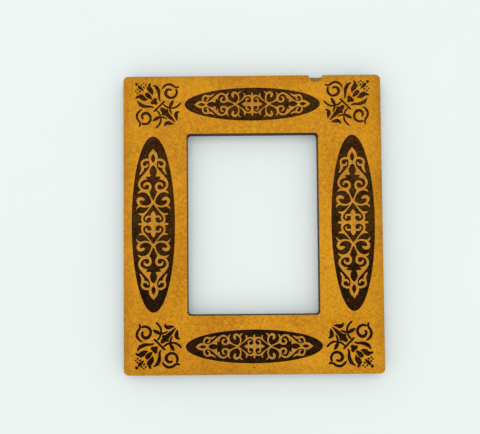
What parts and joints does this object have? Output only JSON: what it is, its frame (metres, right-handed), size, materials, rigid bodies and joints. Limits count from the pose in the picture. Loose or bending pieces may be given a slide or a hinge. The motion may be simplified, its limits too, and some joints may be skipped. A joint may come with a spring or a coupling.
{
  "type": "magnetic embroidery hoop",
  "caption": "Flat rectangular embroidery frame whose engraved front half lifts off its back half, with disc magnets in both that clamp cloth over an open window.",
  "frame": {"origin": "middle of the back frame's underside, on the surface that the hoop lies on", "axes": "+X across the hoop towards the side with the notch, +Y up the hoop towards the notched edge, +Z out of the engraved face"},
  "size_m": [0.155, 0.179, 0.0096],
  "materials": {
    "engraved_hardboard": "satin",
    "hardboard": "matte",
    "nickel_plate": "polished"
  },
  "bodies": {
    "back_half": {"back_magnet_sheet": "hardboard", "back_magnet_01": "nickel_plate", "back_magnet_02": "nickel_plate", "back_magnet_03": "nickel_plate", "back_magnet_04": "nickel_plate", "back_magnet_05": "nickel_plate", "back_magnet_06": "nickel_plate", "back_magnet_07": "nickel_plate", "back_magnet_08": "nickel_plate", "back_magnet_09": "nickel_plate", "back_magnet_10": "nickel_plate"},
    "front_half": {"front_face_sheet": "engraved_hardboard", "front_magnet_sheet": "hardboard", "front_magnet_01": "nickel_plate", "front_magnet_02": "nickel_plate", "front_magnet_03": "nickel_plate", "front_magnet_04": "nickel_plate", "front_magnet_05": "nickel_plate", "front_magnet_06": "nickel_plate", "front_magnet_07": "nickel_plate", "front_magnet_08": "nickel_plate", "front_magnet_09": "nickel_plate", "front_magnet_10": "nickel_plate"}
  },
  "joints": [
    {"name": "front_lift", "type": "slide", "parent": "back_half", "child": "front_half", "axis": [0, 0, 1], "range_m": [0, 0.06]}
  ]
}
